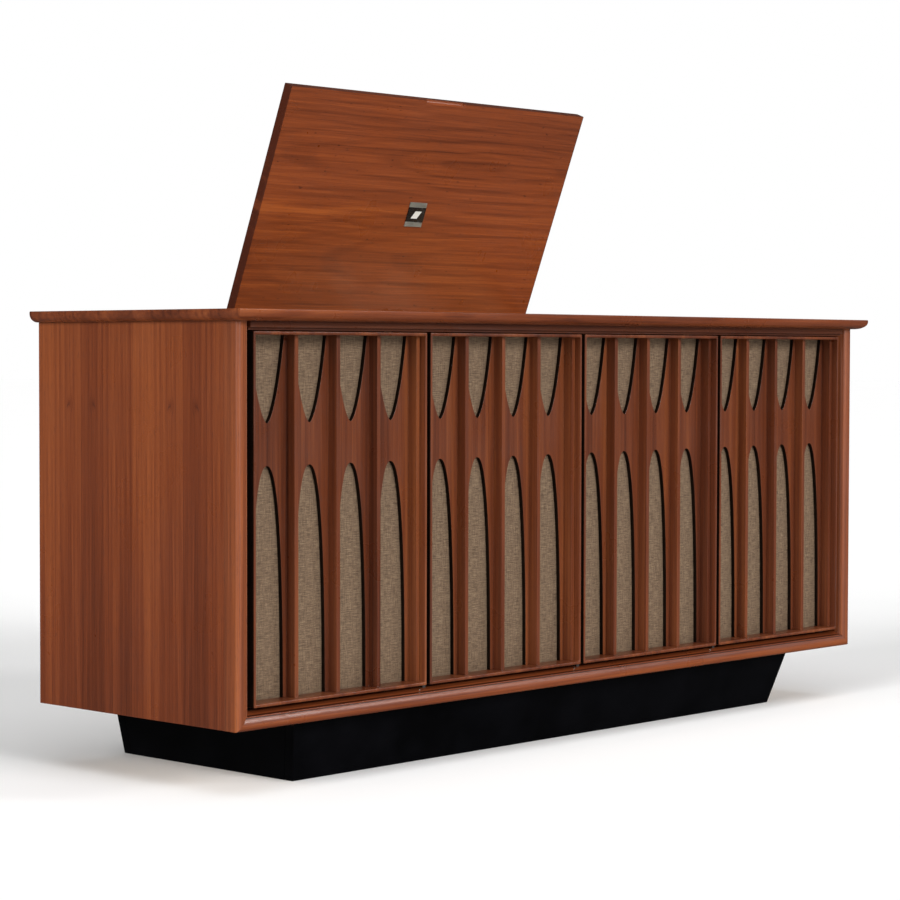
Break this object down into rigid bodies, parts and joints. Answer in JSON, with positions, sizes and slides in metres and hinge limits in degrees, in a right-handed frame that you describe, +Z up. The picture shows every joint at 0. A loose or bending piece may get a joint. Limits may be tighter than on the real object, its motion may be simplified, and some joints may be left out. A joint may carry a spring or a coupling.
{
  "type": "radio phonograph console",
  "caption": "Low walnut radio phonograph console with pierced wooden speaker grilles over tweed cloth, a lift-up lid over a record changer and radio controls, and a set-back black plinth.",
  "frame": {"origin": "middle of the overall footprint, on the floor", "axes": "+X to the right along the front as seen by somebody facing it, +Y from the front to the back, +Z up"},
  "size_m": [1.579, 0.483, 1.0765],
  "materials": {
    "walnut": "satin lacquered walnut veneer",
    "walnut_frame": "satin lacquered solid walnut moulding",
    "walnut_fret": "satin stained walnut",
    "walnut_lid": "satin lacquered walnut veneer",
    "inner_board": "raw chipboard and plywood",
    "hardboard": "brown hardboard",
    "black_plinth": "satin black lacquer",
    "grille_cloth": "woven tweed with a metallic thread",
    "deck_paint": "dark brown painted board",
    "panel_metal": "brushed champagne anodised aluminium",
    "changer_paint": "beige hammer enamel",
    "platter_metal": "grey enamel with a bright rim",
    "mat_rubber": "ribbed rubber",
    "arm_plastic": "ivory moulded plastic",
    "bright_steel": "bright plated steel",
    "knob_plastic": "dark brown moulded plastic with bright cap",
    "dial_glass": "clear glass",
    "dial_print": "black dial plate with plain printed scale",
    "pointer_red": "red enamel",
    "speaker_paint": "black cone and frame",
    "chassis_steel": "cadmium plated steel",
    "brass": "satin brass",
    "silver_badge": "satin silver, ribbed",
    "black_rubber": "moulded rubber",
    "stud_steel": "bright plated steel"
  },
  "bodies": {
    "cabinet": {"top_slab": "walnut", "left_side_panel": "walnut", "right_side_panel": "walnut", "left_corner_post": "walnut_frame", "right_corner_post": "walnut_frame", "top_front_rail": "walnut_frame", "bottom_front_rail": "walnut_frame", "cabinet_floor": "inner_board", "left_partition": "inner_board", "right_partition": "inner_board", "front_mullions": "walnut_frame", "grille_studs": "stud_steel", "back_panel": "hardboard", "mains_cord_grommet": "black_rubber", "back_panel_screws": "bright_steel", "plinth_front": "black_plinth", "plinth_back": "black_plinth", "plinth_ends": "black_plinth", "speaker_baffles": "inner_board", "woofers": "speaker_paint", "tweeters": "speaker_paint", "radio_chassis": "chassis_steel", "amplifier_chassis": "chassis_steel", "motor_board": "deck_paint", "control_panel": "panel_metal", "dial_glass": "dial_glass", "dial_scale": "dial_print", "changer_baseplate": "changer_paint", "changer_spindle": "bright_steel", "drive_motor": "chassis_steel", "hinge_cabinet_leaves": "brass", "hinge_pins": "brass", "grille_frame_1": "walnut_fret", "grille_fret_1": "walnut_fret", "grille_cloth_1": "grille_cloth", "grille_frame_2": "walnut_fret", "grille_fret_2": "walnut_fret", "grille_cloth_2": "grille_cloth", "grille_frame_3": "walnut_fret", "grille_fret_3": "walnut_fret", "grille_cloth_3": "grille_cloth", "grille_frame_4": "walnut_fret", "grille_fret_4": "walnut_fret", "grille_cloth_4": "grille_cloth"},
    "lid": {"lid_panel": "walnut_lid", "lid_badge": "silver_badge", "hinge_lid_leaves": "brass"},
    "platter": {"platter": "platter_metal", "platter_mat": "mat_rubber"},
    "tonearm_turret": {"tonearm_turret": "bright_steel"},
    "tonearm": {"tonearm": "arm_plastic"},
    "record_support_arm": {"record_support_arm": "changer_paint"},
    "changer_lever": {"changer_lever": "arm_plastic"},
    "dial_pointer": {"dial_pointer": "pointer_red"},
    "volume_knob": {"volume_knob": "knob_plastic"},
    "balance_knob": {"balance_knob": "knob_plastic"},
    "bass_knob": {"bass_knob": "knob_plastic"},
    "treble_knob": {"treble_knob": "knob_plastic"},
    "selector_knob": {"selector_knob": "knob_plastic"},
    "tuning_knob": {"tuning_knob": "knob_plastic"}
  },
  "joints": [
    {"name": "lid_hinge", "type": "hinge", "parent": "cabinet", "child": "lid", "pos_m": [-0.049, 0.2155, 0.7108], "axis": [-1, 0, 0], "range_deg": [-68.7, 0]},
    {"name": "platter_spin", "type": "hinge", "parent": "cabinet", "child": "platter", "pos_m": [-0.25, 0.01, 0.605], "axis": [0, 0, 1], "continuous": true},
    {"name": "tonearm_swing", "type": "hinge", "parent": "cabinet", "child": "tonearm_turret", "pos_m": [-0.08, 0.105, 0.604], "axis": [0, 0, 1], "range_deg": [-45, 0]},
    {"name": "tonearm_lift", "type": "hinge", "parent": "tonearm_turret", "child": "tonearm", "pos_m": [-0.08, 0.105, 0.628], "axis": [-1, 0, 0], "range_deg": [0, 12]},
    {"name": "support_arm_swing", "type": "hinge", "parent": "cabinet", "child": "record_support_arm", "pos_m": [-0.39, 0.15, 0.647], "axis": [0, 0, 1], "range_deg": [-42, 0]},
    {"name": "changer_lever_turn", "type": "hinge", "parent": "cabinet", "child": "changer_lever", "pos_m": [-0.075, -0.118, 0.592], "axis": [0, 0, 1], "range_deg": [-20, 20]},
    {"name": "volume_turn", "type": "hinge", "parent": "cabinet", "child": "volume_knob", "pos_m": [0.03, -0.095, 0.645], "axis": [0, 0, 1], "range_deg": [-150, 150]},
    {"name": "balance_turn", "type": "hinge", "parent": "cabinet", "child": "balance_knob", "pos_m": [0.102, -0.095, 0.645], "axis": [0, 0, 1], "range_deg": [-150, 150]},
    {"name": "bass_turn", "type": "hinge", "parent": "cabinet", "child": "bass_knob", "pos_m": [0.174, -0.095, 0.645], "axis": [0, 0, 1], "range_deg": [-150, 150]},
    {"name": "treble_turn", "type": "hinge", "parent": "cabinet", "child": "treble_knob", "pos_m": [0.246, -0.095, 0.645], "axis": [0, 0, 1], "range_deg": [-150, 150]},
    {"name": "selector_turn", "type": "hinge", "parent": "cabinet", "child": "selector_knob", "pos_m": [0.066, -0.003, 0.645], "axis": [0, 0, 1], "range_deg": [-75, 75]},
    {"name": "tuning_turn", "type": "hinge", "parent": "cabinet", "child": "tuning_knob", "pos_m": [0.21, -0.003, 0.645], "axis": [0, 0, 1], "range_deg": [-900, 900]},
    {"name": "pointer_slide", "type": "slide", "parent": "cabinet", "child": "dial_pointer", "axis": [1, 0, 0], "range_m": [-0.115, 0.115]}
  ],
  "couplings": [
    {"joint": "pointer_slide", "follows": "tuning_turn", "m_per_rad": 0.0073}
  ]
}
